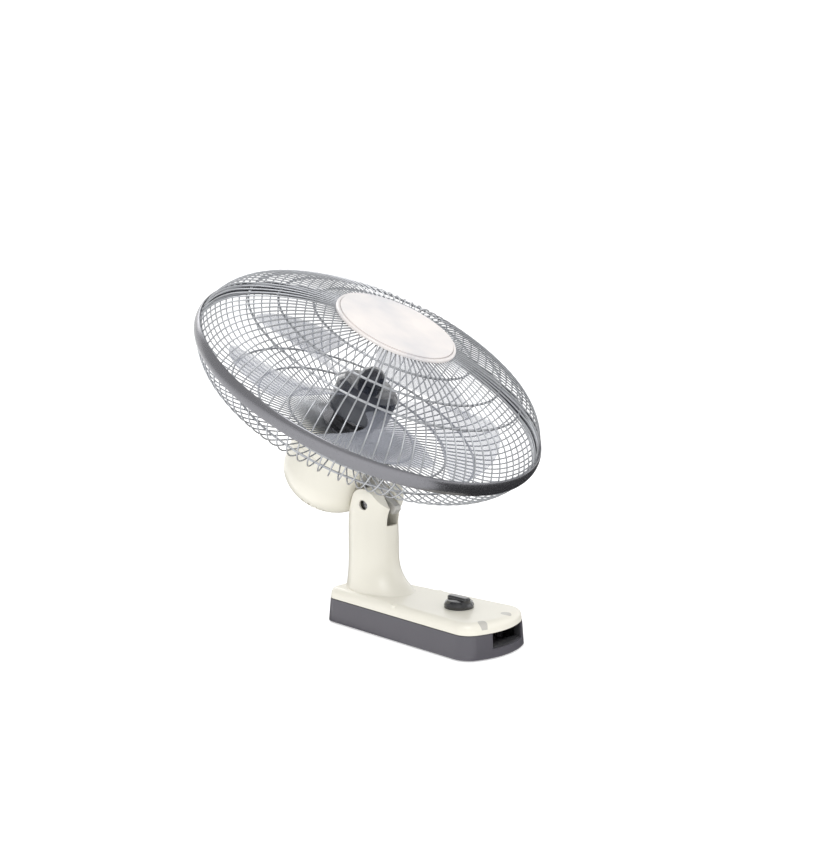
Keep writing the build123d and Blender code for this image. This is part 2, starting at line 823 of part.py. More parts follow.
wheel_mesh_turn = 0.0
with BuildPart() as worm_wheel:
    wheel_frame = knob_axis.offset(axis_rise - 2.0)
    with BuildSketch(wheel_frame):
        add(gear_plan(worm_wheel_teeth, worm_module, 2 * backlash, wheel_mesh_turn))
        Circle(2.5, mode=Mode.SUBTRACT)
    extrude(amount=4.0)
save(worm_wheel, "worm_wheel")

crank_frame = shifted(swivel_up, y=-crank_h)
to_crank = degrees(atan2(-crank_h + worm_h, -spindle_x))
pinion_r = pinion_teeth * gear_module / 2
with BuildPart() as gear_spindle:
    add(tube(knob_axis, gear_floor - 1.5, axis_rise + 6.0, 2.48))
    with BuildSketch(knob_axis.offset(gear_floor)):
        add(gear_plan(pinion_teeth, gear_module, backlash, to_crank))
    extrude(amount=gear_width)
save(gear_spindle, "gear_spindle")

with BuildPart() as crank_gear:
    with BuildSketch(crank_frame.offset(gear_floor)):
        add(gear_plan(crank_gear_teeth, gear_module, backlash, to_crank + 180 + 180 / crank_gear_teeth))
    extrude(amount=gear_width)
    add(tube(crank_frame, 28.4, gear_floor, 3.0))
    add(tube(crank_frame, gear_floor, gear_floor + 10, crank_shaft_r))
    add(tube(crank_frame, housing_floor + 0.1, 28.4, crank_r + 3.0))
    add(tube(shifted(crank_frame, x=crank_r), link_top + 0.15, housing_floor + 0.2, 1.0))
save(crank_gear, "crank_gear")

case_low = axis_rise - 13.0
case_high = axis_rise + 12.0
case_front = 0.2 - bell_rear
with BuildPart() as gear_case:
    add(block(swivel_up, case_low, case_high, *box_corners(-10.5, 27.8, case_front, 64.8)))
    add(
        block(swivel_up, case_low + wall, case_high - wall, *box_corners(-8.1, 25.4, case_front - 1, 62.4)),
        mode=Mode.SUBTRACT,
    )
    add(block(swivel_up, gear_floor + 8, case_low + 1, *box_corners(-7, 7, case_front, case_front + 3)))
    add(block(swivel_up, gear_floor + 4, gear_floor + 11, *box_corners(-7, 7, case_front, 47)))
    add(tube(crank_frame, gear_floor, gear_floor + 12, crank_shaft_r + running), mode=Mode.SUBTRACT)
    add(tube(head, -90, -42, 2.2 + running), mode=Mode.SUBTRACT)
    add(tube(knob_axis, case_low - 5, 200, 2.5 + running), mode=Mode.SUBTRACT)
save(gear_case, "gear_case")

with BuildPart() as swing_knob:
    knob_foot = axis_rise + sqrt(housing_r**2 - spindle_x**2) - 6.0
    add(tube(knob_axis, axis_rise + 12.5, knob_foot + 8, swing_rod_r))
    add(
        turned(
            knob_axis,
            (0, knob_foot + 8),
            (6.5, knob_foot + 8),
            (7.5, knob_foot + 16),
            (6.0, knob_foot + 20),
            (0, knob_foot + 20),
        )
    )
save(swing_knob, "swing_knob")


# ---------------------------------------------------------------- cage
def cage_wires(foot_r, rim_h, toward, depth, crown, bend_r, outer_r, count, turn):
    """Evenly spaced wires from the middle plate to the rim, each a crown arc and a bend."""
    section = Plane(head.origin, x_dir=head.x_dir, z_dir=-head.y_dir)
    shoulder_r = outer_r - bend_r
    shoulder_h = rim_h + toward * (depth - crown)
    middle_r = (foot_r + shoulder_r) / 2
    middle_h = rim_h + toward * (depth - crown / 4)
    with BuildPart() as wire:
        with BuildLine(section):
            crown_foot = (foot_r, rim_h + toward * depth)
            crown_arc = ThreePointArc(crown_foot, (middle_r, middle_h), (shoulder_r, shoulder_h))
            TangentArc(crown_arc @ 1, (outer_r, rim_h), tangent=crown_arc % 1)
        with BuildSketch(Plane(origin=crown_arc @ 0, z_dir=crown_arc % 0)):
            Circle(wire_r)
        sweep()
    axis = Axis(head.origin, head.z_dir)
    with BuildPart() as cage:
        for i in range(count):
            add(wire.part.rotate(axis, turn + 360 / count * i))
    return cage


def cage_ring(seat, thickness):
    """A private wire ring about the head's axis."""
    section = Plane(head.origin, x_dir=head.x_dir, z_dir=-head.y_dir)
    with BuildPart() as ring:
        with BuildSketch(section):
            with Locations(seat):
                Circle(thickness)
        revolve(axis=Axis(head.origin, head.z_dir))
    return ring.part


def crown_seat(radius, foot_r, rim_h, toward, depth, crown, bend_r, outer_r):
    """Where a ring lies against the inside of the wires: its own radius and height."""
    shoulder_r = outer_r - bend_r
    a = (foot_r, depth)
    b = ((foot_r + shoulder_r) / 2, depth - crown / 4)
    c = (shoulder_r, depth - crown)
    d = 2 * (a[0] * (b[1] - c[1]) + b[0] * (c[1] - a[1]) + c[0] * (a[1] - b[1]))
    sa, sb, sc = (p[0] ** 2 + p[1] ** 2 for p in (a, b, c))
    cx = (sa * (b[1] - c[1]) + sb * (c[1] - a[1]) + sc * (a[1] - b[1])) / d
    cy = (sa * (c[0] - b[0]) + sb * (a[0] - c[0]) + sc * (b[0] - a[0])) / d
    arc_r = hypot(a[0] - cx, a[1] - cy)
    angle = acos((radius - cx) / arc_r)
    reach = arc_r - wire_r - ring_wire_r - 0.05
    return cx + reach * cos(angle), rim_h + toward * (cy + reach * sin(angle))


rim_rear = rim_front - rim_width
front_hoop_h = rim_front - lip_width - 0.1 - hoop_wire_r
rear_hoop_h = rim_rear + lip_width + 0.1 + hoop_wire_r
front_seat = front_hoop_h + hoop_wire_r + 0.35
rear_seat = rear_hoop_h - hoop_wire_r - 0.35
front_foot_r = 62.0
rear_foot_r = 30.0
front_shape = (front_foot_r, front_seat, 1, front_cage_depth + 1.5, front_crown, front_bend_r, front_cage_r)
rear_shape = (rear_foot_r, rear_seat, -1, rear_cage_depth + 1.5, rear_crown, rear_bend_r, rear_cage_r)

front_wires = cage_wires(*front_shape, front_wire_count, 0)
save(front_wires, "front_wires")
rear_wires = cage_wires(*rear_shape, rear_wire_count, 180 / rear_wire_count)
save(rear_wires, "rear_wires")

front_ring_radii = (100.0, 140.0, 172.0)
with BuildPart() as front_rings:
    for ring_radius in front_ring_radii:
        add(cage_ring(crown_seat(ring_radius, *front_shape), ring_wire_r))
    add(cage_ring((front_cage_r, front_hoop_h), hoop_wire_r))
save(front_rings, "front_rings")
rear_ring_radii = (80.0, 120.0, 155.0)
with BuildPart() as rear_rings:
    for ring_radius in rear_ring_radii:
        add(cage_ring(crown_seat(ring_radius, *rear_shape), ring_wire_r))
    add(cage_ring((rear_cage_r, rear_hoop_h), hoop_wire_r))
save(rear_rings, "rear_rings")

# rim hoops that close each half of the cage, inside the belt
belt_bore = rim_r - 2.4
with BuildPart() as rim_belt:
    add(
        turned(
            head,
            (rim_r - 1.8, rim_rear),
            (rim_r - 0.6, rim_rear + 2.4),
            (rim_r, rim_rear + 5.8),
            (rim_r, rim_front - 5.8),
            (rim_r - 0.6, rim_front - 2.4),
            (rim_r - 1.8, rim_front),
            (lip_r, rim_front),
            (lip_r, rim_front - lip_width),
            (belt_bore, rim_front - lip_width),
            (belt_bore, rim_rear + lip_width),
            (lip_r, rim_rear + lip_width),
            (lip_r, rim_rear),
        )
    )
save(rim_belt, "rim_belt")

front_plate_h = front_seat + front_cage_depth + 1.5
with BuildPart() as front_plate:
    add(
        turned(
            head,
            (front_foot_r - 6, front_plate_h + wire_r + 0.1),
            (badge_r + 4.4, front_plate_h + wire_r + 0.1),
            (badge_r + 4.4, front_plate_h + wire_r + 2.0),
            (badge_r + 3.6, front_plate_h + wire_r + 3.4),
            (badge_r + 1.0, front_plate_h + wire_r + 3.4),
            (badge_r + 0.4, front_plate_h + wire_r + 1.9),
            (front_foot_r - 6, front_plate_h + wire_r + 1.9),
        )
    )
save(front_plate, "front_plate")

badge_dish = 1.6
badge_sphere_r = (badge_r**2 + badge_dish**2) / (2 * badge_dish)
with BuildPart() as badge:
    add(tube(head, front_plate_h + wire_r + 2.1, badge_front + 1, badge_r))
    with Locations(head.from_local_coords(Vector(0, 0, badge_front - badge_sphere_r))):
        Sphere(badge_sphere_r, mode=Mode.INTERSECT)
save(badge, "badge")

rear_plate_h = rear_seat - rear_cage_depth - 1.5
with BuildPart() as rear_plate:
    add(tube(head, rear_plate_h + wire_r + 0.3, rear_plate_h + wire_r + 2.6, plate_r, front_bore + 0.2))
save(rear_plate, "rear_plate")

with BuildPart() as cage_nut:
    nut_low = rear_plate_h + wire_r + 2.8
    add(tube(head, nut_low, nut_low + 7, 26.0, nose_r_motor + 0.1))
    with BuildSketch(head.offset(nut_low + 1.5)):
        with PolarLocations(27.2, 12):
            Circle(3)
    extrude(amount=6, mode=Mode.SUBTRACT)
save(cage_nut, "cage_nut")

# ---------------------------------------------------------------- blade, hub and spinner nut
blade_mid = (hub_rear + hub_front - 14) / 2


def blade_strip(reach, slope, rise):
    """A thin bowed strip across one blade, at a distance out from the fan's axis."""
    station = Plane(head.from_local_coords(Vector(reach, 0, 0)), x_dir=head.y_dir, z_dir=head.x_dir)
    ends = []
    with BuildSketch(station) as strip:
        with BuildLine():
            for lift in (-blade_thickness / 2, blade_thickness / 2):
                points = []
                for share in (-1.0, -0.5, 0.0, 0.5, 1.0):
                    bow = 5.0 * (1 - share * share) - 3.0
                    points.append((110 * share, blade_mid + rise + 110 * slope * share + bow + lift))
                curve = Spline(*points)
                ends.append((curve @ 0, curve @ 1))
            Line(ends[0][0], ends[1][0])
            Line(ends[0][1], ends[1][1])
        make_face()
    return strip.sketch


def around(radius, angle):
    """A point on the blade's outline, from its radius and its turn from the middle of the blade."""
    turn = radians(angle - blade_mid_turn)
    return radius * cos(turn), radius * sin(turn)


with BuildPart() as one_blade:
    loft(sections=[blade_strip(*station) for station in blade_stations])
    with BuildSketch(head):
        with BuildLine():
            lead = Spline(*[around(*spot) for spot in lead_edge])
            tip = ThreePointArc(around(*lead_corner), (blade_tip_r, 0), around(*tail_corner))
            Spline(lead @ 1, tip @ 0, tangents=(lead % 1, tip % 0))
            trail = Spline(*[around(*spot) for spot in tail_edge])
            Spline(tip @ 1, trail @ 0, tangents=(tip % 1, trail % 0))
            Line(trail @ 1, lead @ 0)
        make_face()
    extrude(amount=150, mode=Mode.INTERSECT)
    add(tube(head, 0, 150, hub_r + 0.02), mode=Mode.SUBTRACT)

with BuildPart() as fan_hub:
    add(
        turned(
            head,
            (shaft_r + 0.02, hub_rear),
            (9.0, hub_rear),
            (9.0, hub_front - 14),
            (hub_r - 2.2, hub_front - 14),
            (hub_r - 2.2, hub_rear + 2),
            (hub_r, hub_rear + 2),
            (hub_r, hub_front - 14),
            (hub_r - 6, hub_front - 9),
            (10.0, hub_front - 7),
            (shaft_r + 0.02, hub_front - 7),
        )
    )
    add(
        tube(Plane(cross_hole.origin, x_dir=head.z_dir, z_dir=head.x_dir), -9.5, 9.5, 1.6),
        mode=Mode.SUBTRACT,
    )
save(fan_hub, "fan_hub")

with BuildPart() as fan_blades:
    for i in range(blade_count):
        place = blade_turn + blade_mid_turn + 360 / blade_count * i
        add(one_blade.part.rotate(Axis(head.origin, head.z_dir), place))
save(fan_blades, "fan_blades")

nut_foot = hub_front - 6.9
with BuildPart() as spinner_nut:
    add(
        turned(
            head,
            (shaft_r + 0.02, nut_foot),
            (15, nut_foot),
            (15, nut_foot + 8),
            (13, nut_foot + 14),
            (8, nut_foot + 18),
            (0, nut_foot + 19),
            (0, shaft_front + 0.3),
            (shaft_r + 0.02, shaft_front + 0.3),
        )
    )
    with BuildSketch(head.offset(nut_foot + 2)):
        with PolarLocations(15.8, 8):
            Circle(1.8)
    extrude(amount=20, mode=Mode.SUBTRACT)
save(spinner_nut, "spinner_nut")
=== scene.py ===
"""Desk fan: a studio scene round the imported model.

Metres, +Z up, the front towards -Y.
"""

import json
import math

import bpy
import numpy as np
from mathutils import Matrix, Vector


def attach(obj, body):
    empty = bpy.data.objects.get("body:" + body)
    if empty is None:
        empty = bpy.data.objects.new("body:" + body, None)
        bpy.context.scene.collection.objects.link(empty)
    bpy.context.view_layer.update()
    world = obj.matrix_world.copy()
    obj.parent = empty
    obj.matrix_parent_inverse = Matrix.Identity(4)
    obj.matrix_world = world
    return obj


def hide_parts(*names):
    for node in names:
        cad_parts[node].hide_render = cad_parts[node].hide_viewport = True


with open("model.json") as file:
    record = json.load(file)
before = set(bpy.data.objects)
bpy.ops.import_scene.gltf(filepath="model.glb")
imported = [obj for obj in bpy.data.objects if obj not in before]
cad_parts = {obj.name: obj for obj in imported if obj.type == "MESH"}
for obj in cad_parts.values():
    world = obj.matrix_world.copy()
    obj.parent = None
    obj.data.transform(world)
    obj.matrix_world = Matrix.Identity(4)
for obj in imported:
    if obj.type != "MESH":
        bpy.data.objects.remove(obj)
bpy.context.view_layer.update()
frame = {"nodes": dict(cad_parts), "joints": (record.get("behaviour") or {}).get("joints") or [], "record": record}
nodes = frame["nodes"]
joints = {joint["name"]: joint for joint in frame["joints"]}

# ---------------------------------------------------------------- camera
VIEW_TURN = math.radians(47.94)
VIEW_RISE = math.radians(9.55)
VIEW_DISTANCE = 1.8294
VIEW_TARGET = Vector((0.0, -0.0643, 0.2431))
VIEW_LENS = 67.69
SENSOR = 36.0


def make_camera():
    """A camera on a sphere round the target, looking at it."""
    data = bpy.data.cameras.new("view")
    camera = bpy.data.objects.new("view", data)
    bpy.context.scene.collection.objects.link(camera)
    outward = Vector(
        (
            -math.sin(VIEW_TURN) * math.cos(VIEW_RISE),
            -math.cos(VIEW_TURN) * math.cos(VIEW_RISE),
            math.sin(VIEW_RISE),
        )
    )
    camera.location = VIEW_TARGET + VIEW_DISTANCE * outward
    camera.rotation_mode = "QUATERNION"
    camera.rotation_quaternion = (-outward).to_track_quat("-Z", "Y")
    data.sensor_width = SENSOR
    data.lens = VIEW_LENS
    data.clip_start = 0.05
    data.clip_end = 50.0
    bpy.context.scene.camera = camera
    return camera


make_camera()


# ---------------------------------------------------------------- shader writing
class Term:
    """A number that varies over a surface: arithmetic on it adds Math nodes."""

    def __init__(self, finish, socket):
        self.finish = finish
        self.socket = socket

    def math(self, operation, *terms):
        """One Math node over this kind of term."""
        made = self.finish.node("ShaderNodeMath", {"operation": operation}, *terms)
        return Term(self.finish, made.outputs[0])

    def __add__(self, other):
        return self.math("ADD", self, other)

    def __radd__(self, other):
        return self.math("ADD", other, self)

    def __sub__(self, other):
        return self.math("SUBTRACT", self, other)

    def __rsub__(self, other):
        return self.math("SUBTRACT", other, self)

    def __mul__(self, other):
        return self.math("MULTIPLY", self, other)

    def __rmul__(self, other):
        return self.math("MULTIPLY", other, self)

    def __truediv__(self, other):
        return self.math("DIVIDE", self, other)

    def __gt__(self, other):
        return self.math("GREATER_THAN", self, other)

    def __lt__(self, other):
        return self.math("LESS_THAN", self, other)

    def sine(self):
        """The sine of the term."""
        return self.math("SINE", self)

    def band(self, low, high):
        """0 below low, 1 above high, a straight ramp between."""
        made = self.finish.node(
            "ShaderNodeMapRange", {"clamp": True}, self, low, high, 0.0, 1.0
        )
        return Term(self.finish, made.outputs[0])


class Finish:
    """A material built up node by node from Python expressions."""

    def __init__(self, name):
        self.material = bpy.data.materials.new(name)
        self.material.use_nodes = True
        self.tree = self.material.node_tree
        self.tree.nodes.clear()
        self.out = self.tree.nodes.new("ShaderNodeOutputMaterial")
        self.place = self.node("ShaderNodeTexCoord").outputs["Object"]

    def node(self, kind, settings=None, *values, **named):
        """Adds a node: settings first, then values or links, by position or by socket name."""
        made = self.tree.nodes.new(kind)
        for key, value in (settings or {}).items():
            setattr(made, key, value)
        for index, value in enumerate(values):
            self.feed(made.inputs[index], value)
        for key, value in named.items():
            self.feed(made.inputs[key.replace("_", " ")], value)
        return made

    def feed(self, socket, value):
        """Links a term or a socket, or sets a plain value."""
        if isinstance(value, Term):
            value = value.socket
        if isinstance(value, bpy.types.NodeSocket):
            self.tree.links.new(value, socket)
        elif value is not None:
            socket.default_value = value

    def stretched(self, x, y, z):
        """The object's own coordinates, scaled along each axis."""
        made = self.node("ShaderNodeMapping", None, self.place, Scale=(x, y, z))
        return made.outputs[0]

    def noise(self, scale, detail=4.0, roughness=0.55, place=None):
        """Cloudy noise from 0 to 1, with that many features to the metre."""
        made = self.node(
            "ShaderNodeTexNoise",
            None,
            Vector=place or self.place,
            Scale=scale,
            Detail=detail,
            Roughness=roughness,
        )
        return Term(self, made.outputs[0])

    def cells(self, scale, place=None):
        """Distance to the nearest of many scattered points."""
        made = self.node("ShaderNodeTexVoronoi", None, Vector=place or self.place, Scale=scale)
        return Term(self, made.outputs["Distance"])

    def axis(self, index):
        """One of the object's own coordinates, in metres."""
        made = self.node("ShaderNodeSeparateXYZ", None, self.place)
        return Term(self, made.outputs[index])

    def blend(self, share, first, second):
        """A colour between two, by a term."""
        made = self.node("ShaderNodeMix", {"data_type": "RGBA"})
        self.feed(made.inputs[0], share)
        self.feed(made.inputs[6], first)
        self.feed(made.inputs[7], second)
        return made.outputs[2]

    def bumps(self, height, distance, strength):
        """A bumped normal; heights are in units of the distance, in metres."""
        made = self.node(
            "ShaderNodeBump",
            None,
            Strength=strength,
            Distance=distance,
            Height=height,
        )
        return made.outputs[0]

    def edge_sheen(self, blend=0.3):
        """0 face on, rising to 1 at grazing angles."""
        made = self.node("ShaderNodeLayerWeight", None, blend)
        return Term(self, made.outputs["Facing"])

    def shader(self, **sockets):
        """The surface itself."""
        made = self.node("ShaderNodeBsdfPrincipled")
        for key, value in sockets.items():
            self.feed(made.inputs[key.replace("_", " ")], value)
        return made.outputs[0]

    def done(self, shader):
        """Closes the material."""
        self.feed(self.out.inputs[0], shader)
        return self.material


def shade(colour, factor):
    """A colour made lighter or darker, with its alpha."""
    return tuple(min(1.0, channel * factor) for channel in colour[:3]) + (1.0,)


def moulded_plastic(name, colour, gloss, grain=0.00004, coat=0.0, drift=0.05):
    """Moulded plastic: a faint drift of colour, fine orange peel and light handling marks."""
    finish = Finish(name)
    cloud = finish.noise(14.0, 3.0)
    peel = finish.noise(900.0, 2.0)
    haze = finish.noise(45.0, 5.0, 0.7)
    marks = finish.noise(260.0, 6.0, 0.8, finish.stretched(1.0, 0.25, 3.0)).band(0.56, 0.7)
    base = finish.blend(cloud, shade(colour, 1.0 - drift), shade(colour, 1.0 + drift))
    rough = gloss + 0.10 * haze + 0.075 * marks
    return finish.done(
        finish.shader(
            Base_Color=base,
            Roughness=rough,
            Coat_Weight=coat,
            Coat_Roughness=0.08,
            IOR=1.5,
            Normal=finish.bumps(peel, grain, 0.6),
        )
    )


def marked_cover(name, colour, marks):
    """The cover's plastic with small grey printed marks, each an ellipse on its top:
    inside where ((x - x0) / a) ** 2 + ((y - y0) / b) ** 2 < 1."""
    finish = Finish(name)
    cloud = finish.noise(14.0, 3.0)
    peel = finish.noise(900.0, 2.0)
    haze = finish.noise(45.0, 5.0, 0.7)
    base = finish.blend(cloud, shade(colour, 0.975), shade(colour, 1.025))
    x, y, z = finish.axis(0), finish.axis(1), finish.axis(2)
    for x0, y0, a, b in marks:
        across, along = (x - x0) / a, (y - y0) / b
        inside = ((across * across + along * along) < 1.0) * (z > MARK_FLOOR)
        base = finish.blend(0.6 * inside, base, MARK_GREY)
    return finish.done(
        finish.shader(
            Base_Color=base,
            Roughness=0.26 + 0.10 * haze,
            Coat_Weight=0.2,
            Coat_Roughness=0.08,
            IOR=1.5,
            Normal=finish.bumps(peel, 0.00003, 0.5),
        )
    )


def spark_textured(name, colour, gloss=0.5, grain=0.00012, pitch=1400.0):
    """Dark moulded plastic with a fine eroded texture and rubbed high spots."""
    finish = Finish(name)
    pits = finish.cells(pitch)
    cloud = finish.noise(22.0, 4.0)
    dust = finish.noise(180.0, 6.0, 0.75).band(0.5, 0.75)
    base = finish.blend(cloud, shade(colour, 0.82), shade(colour, 1.25))
    base = finish.blend(0.25 * dust, base, shade(colour, 2.6))
    return finish.done(
        finish.shader(
            Base_Color=base,
            Roughness=gloss + 0.12 * cloud + 0.1 * dust,
            Normal=finish.bumps(pits, grain, 0.5),
        )
    )


def lacquered_metal(name, colour, gloss=0.3, metallic=0.7, flake=2600.0):
    """Silver lacquer over steel: fine flakes, a soft drift and small scuffs."""
    finish = Finish(name)
    sparkle = finish.cells(flake)
    cloud = finish.noise(18.0, 3.0)
    scuffs = finish.noise(400.0, 5.0, 0.8).band(0.6, 0.72)
    base = finish.blend(sparkle, shade(colour, 0.86), shade(colour, 1.16))
    base = finish.blend(0.3 * cloud, base, shade(colour, 0.9))
    return finish.done(
        finish.shader(
            Base_Color=base,
            Metallic=metallic,
            Roughness=gloss + 0.08 * cloud + 0.2 * scuffs,
            Normal=finish.bumps(sparkle, 0.00002, 0.4),
        )
    )


def bare_metal(name, colour, gloss=0.28, streaks=(4.0, 4.0, 300.0), metallic=1.0):
    """Turned or drawn metal with fine streaks and a little tarnish."""
    finish = Finish(name)
    lines = finish.noise(60.0, 5.0, 0.6, finish.stretched(*streaks))
    tarnish = finish.noise(120.0, 5.0, 0.7).band(0.45, 0.75)
    base = finish.blend(tarnish, colour + (1.0,), shade(colour, 0.72))
    return finish.done(
        finish.shader(
            Base_Color=base,
            Metallic=metallic,
            Roughness=gloss + 0.2 * lines + 0.15 * tarnish,
            Normal=finish.bumps(lines, 0.00003, 0.5),
        )
    )


def cast_metal(name, colour, gloss=0.5, metallic=0.8):
    """A rough casting: coarse skin over a cloudy base."""
    finish = Finish(name)
    skin = finish.noise(700.0, 6.0, 0.7)
    cloud = finish.noise(40.0, 4.0)
    base = finish.blend(cloud, shade(colour, 0.8), shade(colour, 1.15))
    return finish.done(
        finish.shader(
            Base_Color=base,
            Metallic=metallic,
            Roughness=gloss + 0.2 * skin,
            Normal=finish.bumps(skin, 0.0003, 0.6),
        )
    )


def soft_rubber(name, colour):
    """Matt rubber with a dusty bloom."""
    finish = Finish(name)
    bloom = finish.noise(90.0, 6.0, 0.7).band(0.4, 0.8)
    skin = finish.noise(1500.0, 3.0)
    base = finish.blend(0.5 * bloom, colour + (1.0,), shade(colour, 2.2))
    return finish.done(
        finish.shader(
            Base_Color=base,
            Roughness=0.72 + 0.15 * bloom,
            Normal=finish.bumps(skin, 0.0001, 0.5),
        )
    )


SHEET_PITCH = 0.0010


def stacked_sheets(name, colour, along):
    """Laminations: fine bands across the stack's own direction, with an oily sheen."""
    finish = Finish(name)
    settings = {"operation": "DOT_PRODUCT"}
    dot = finish.node("ShaderNodeVectorMath", settings, finish.place, tuple(along))
    depth = Term(finish, dot.outputs["Value"])
    bands = (depth * (2 * math.pi / SHEET_PITCH)).sine() * 0.5 + 0.5
    rust = finish.noise(150.0, 6.0, 0.75).band(0.5, 0.8)
    base = finish.blend(bands, shade(colour, 0.7), shade(colour, 1.2))
    base = finish.blend(0.35 * rust, base, (0.2, 0.11, 0.07, 1.0))
    return finish.done(
        finish.shader(
            Base_Color=base,
            Metallic=0.6,
            Roughness=0.42 + 0.2 * rust,
            Normal=finish.bumps(bands, 0.0002, 0.7),
        )
    )


def wound_copper(name, colour):
    """Enamelled wire: fine strands under clear varnish."""
    finish = Finish(name)
    strands = finish.noise(30.0, 3.0, 0.5, finish.stretched(12.0, 60.0, 60.0))
    base = finish.blend(strands, shade(colour, 0.6), shade(colour, 1.3))
    return finish.done(
        finish.shader(
            Base_Color=base,
            Metallic=0.6,
            Roughness=0.25 + 0.25 * strands,
            Coat_Weight=0.6,
            Normal=finish.bumps(strands, 0.0006, 0.7),
        )
    )


def clear_plastic(name, colour, body=0.24, rim=0.68):
    """Clear plastic: see-through face on, denser at grazing angles, with faint flow lines."""
    finish = Finish(name)
    flow = finish.noise(9.0, 4.0, 0.5, finish.stretched(1.0, 2.2, 1.0))
    dust = finish.noise(320.0, 6.0, 0.8).band(0.55, 0.8)
    sheen = finish.edge_sheen(0.35)
    base = finish.blend(flow, shade(colour, 0.85), shade(colour, 1.15))
    base = finish.blend(0.25 * dust, base, (0.8, 0.82, 0.85, 1.0))
    return finish.done(
        finish.shader(
            Base_Color=base,
            Roughness=0.08 + 0.12 * dust + 0.05 * flow,
            Alpha=body + rim * sheen * sheen + 0.05 * dust,
            IOR=1.49,
            Normal=finish.bumps(flow, 0.0006, 0.3),
        )
    )


def pearl_plastic(name, colour):
    """Pearl lacquer on the plain badge: a soft warm and cool drift with fine mica."""
    finish = Finish(name)
    drift = finish.noise(16.0, 3.0, 0.5)
    mica = finish.cells(2200.0)
    warm = finish.blend(drift.band(0.35, 0.7), shade(colour, 1.0), (0.86, 0.80, 0.76, 1.0))
    base = finish.blend(0.25 * mica, warm, shade(colour, 1.1))
    return finish.done(
        finish.shader(
            Base_Color=base,
            Roughness=0.3 + 0.12 * drift,
            Coat_Weight=0.35,
            Coat_Roughness=0.1,
            Normal=finish.bumps(mica, 0.00002, 0.3),
        )
    )


swing_axis = np.array(joints["head_swing"]["axis"], float)
forward = np.array(joints["rotor_spin"]["axis"], float)
forward /= np.linalg.norm(forward)
upward = swing_axis / np.linalg.norm(swing_axis)
rightward = np.cross(upward, forward)
hub_centre = np.array(joints["rotor_spin"]["pos_m"], float)

MARK_GREY = (0.33, 0.32, 0.31, 1.0)
MARK_FLOOR = 0.034
MARKS = ((-0.0288, -0.1918, 0.0050, 0.0058), (0.0148, -0.1896, 0.0055, 0.0065))

IVORY = (0.78, 0.755, 0.665)
TRAY_GREY = (0.088, 0.084, 0.098)
KNOB_BLACK = (0.014, 0.014, 0.016)
# Spinner nut colour: partly its own dark plastic, partly painted shade, since the hub and motor sit in shadow
# there
HUB_BLACK_AND_SHADE = (0.020, 0.024, 0.036)

finishes = {
    "ivory_plastic": moulded_plastic("ivory_plastic", IVORY, 0.28, coat=0.15, drift=0.025),
    "marked_cover": marked_cover("marked_cover", IVORY, MARKS),
    "dark_plastic": spark_textured("dark_plastic", (0.045, 0.045, 0.05), 0.38),
    "tray_satin": moulded_plastic("tray_satin", TRAY_GREY, 0.30, grain=0.00003, drift=0.06),
    "knob_gloss": moulded_plastic("knob_gloss", KNOB_BLACK, 0.10, grain=0.00001, coat=0.6),
    "rubber": soft_rubber("rubber", (0.03, 0.03, 0.03)),
    "steel": bare_metal("steel", (0.62, 0.62, 0.64)),
    "cast_iron": cast_metal("cast_iron", (0.16, 0.16, 0.17)),
    "black_plastic": spark_textured("black_plastic", (0.02, 0.02, 0.022), 0.5),
    "nylon": moulded_plastic("nylon", (0.78, 0.76, 0.68), 0.45, grain=0.00008),
    "painted_steel": lacquered_metal("painted_steel", (0.50, 0.49, 0.46), 0.35, 0.3),
    "motor_alloy": cast_metal("motor_alloy", (0.55, 0.55, 0.57), 0.4, 0.9),
    "laminations": stacked_sheets("laminations", (0.22, 0.22, 0.24), forward),
    "copper": wound_copper("copper", (0.62, 0.30, 0.16)),
    "bronze": bare_metal("bronze", (0.60, 0.44, 0.24)),
    "cage_wire": lacquered_metal("cage_wire", (0.42, 0.43, 0.45), 0.27, 0.85),
    "silver_grey": lacquered_metal("silver_grey", (0.21, 0.21, 0.225), 0.22, 0.9),
    "pearl": pearl_plastic("pearl", (0.64, 0.625, 0.635)),
    "smoke_clear": clear_plastic("smoke_clear", (0.40, 0.42, 0.48)),
    # The spinner nut's finish: dark plastic made near black as painted shade of the hub and motor
    "hub_smoke": moulded_plastic("hub_smoke", HUB_BLACK_AND_SHADE, 0.10, grain=0.00001, coat=0.6),
}
own_finish = {
    "base_cover": "marked_cover",
    "base_tray": "tray_satin",
    "speed_knob": "knob_gloss",
    # Spinner nut: dark plastic with painted shade of the hub and motor
    "spinner_nut": "hub_smoke",
}


def dress(piece, finish):
    """Gives a piece its one finish."""
    piece.data.materials.clear()
    piece.data.materials.append(finishes[finish])


for part in frame["record"]["subparts"]:
    dress(nodes[part["node"]], own_finish.get(part["node"], part["material_slot"]))


# ---------------------------------------------------------------- pieces from surfaces
def mesh_piece(name, points, faces, finish, body, smooth=True):
    """A new piece from points (n, 3) and quads (m, 4), riding on a body."""
    mesh = bpy.data.meshes.new(name)
    mesh.vertices.add(len(points))
    mesh.vertices.foreach_set("co", np.asarray(points, np.float32).ravel())
    flat = np.asarray(faces, np.int32)
    mesh.loops.add(flat.size)
    mesh.loops.foreach_set("vertex_index", flat.ravel())
    mesh.polygons.add(len(flat))
    mesh.polygons.foreach_set("loop_start", np.arange(len(flat), dtype=np.int32) * flat.shape[1])
    mesh.polygons.foreach_set("loop_total", np.full(len(flat), flat.shape[1], np.int32))
    mesh.polygons.foreach_set("use_smooth", np.full(len(flat), smooth))
    mesh.update(calc_edges=True)
    mesh.validate()
    piece = bpy.data.objects.new(name, mesh)
    bpy.context.scene.collection.objects.link(piece)
    dress(piece, finish)
    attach(piece, body)
    return piece


